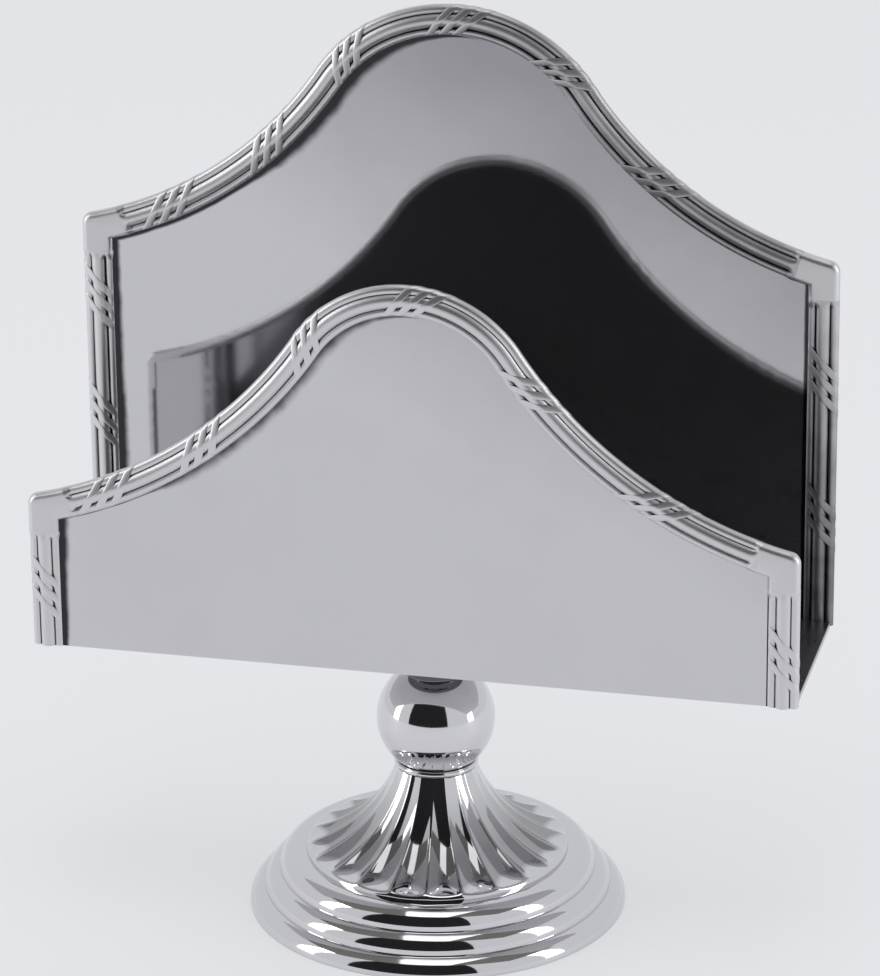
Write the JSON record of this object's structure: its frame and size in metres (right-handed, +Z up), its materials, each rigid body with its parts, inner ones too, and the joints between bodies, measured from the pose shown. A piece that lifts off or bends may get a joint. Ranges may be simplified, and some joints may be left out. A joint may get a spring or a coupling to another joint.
{
  "type": "napkin holder",
  "caption": "Silver-plated pedestal napkin holder: serpentine upright plates with a reed-and-ribbon border, on a ball, a fluted stem and a round stepped foot.",
  "frame": {"origin": "on the table, under the middle of the pedestal", "axes": "+Z up, +X along the plates to the right as seen from the front, +Y from the front plate towards the taller back plate"},
  "size_m": [0.145, 0.072, 0.1716],
  "materials": {
    "sheet_silver": "polished silver plate on brass sheet, with fine hairline scratches",
    "border_silver": "silver plate, bright on the reeds and tarnished in the grooves",
    "pedestal_silver": "turned and buffed silver plate, mirror bright",
    "steel": "plain zinc-bright steel"
  },
  "bodies": {
    "root": {"front_plate": "sheet_silver", "back_plate": "sheet_silver", "floor_plate": "sheet_silver", "front_top_moulding": "border_silver", "back_top_moulding": "border_silver", "front_left_stile": "border_silver", "front_right_stile": "border_silver", "back_left_stile": "border_silver", "back_right_stile": "border_silver", "front_left_corner": "border_silver", "front_right_corner": "border_silver", "back_left_corner": "border_silver", "back_right_corner": "border_silver", "neck_collar": "pedestal_silver", "ball_knop": "pedestal_silver", "ring_collar": "pedestal_silver", "fluted_stem": "pedestal_silver", "stepped_foot": "pedestal_silver", "tie_rod": "steel", "foot_washer": "steel", "foot_nut": "steel"}
  },
  "joints": []
}
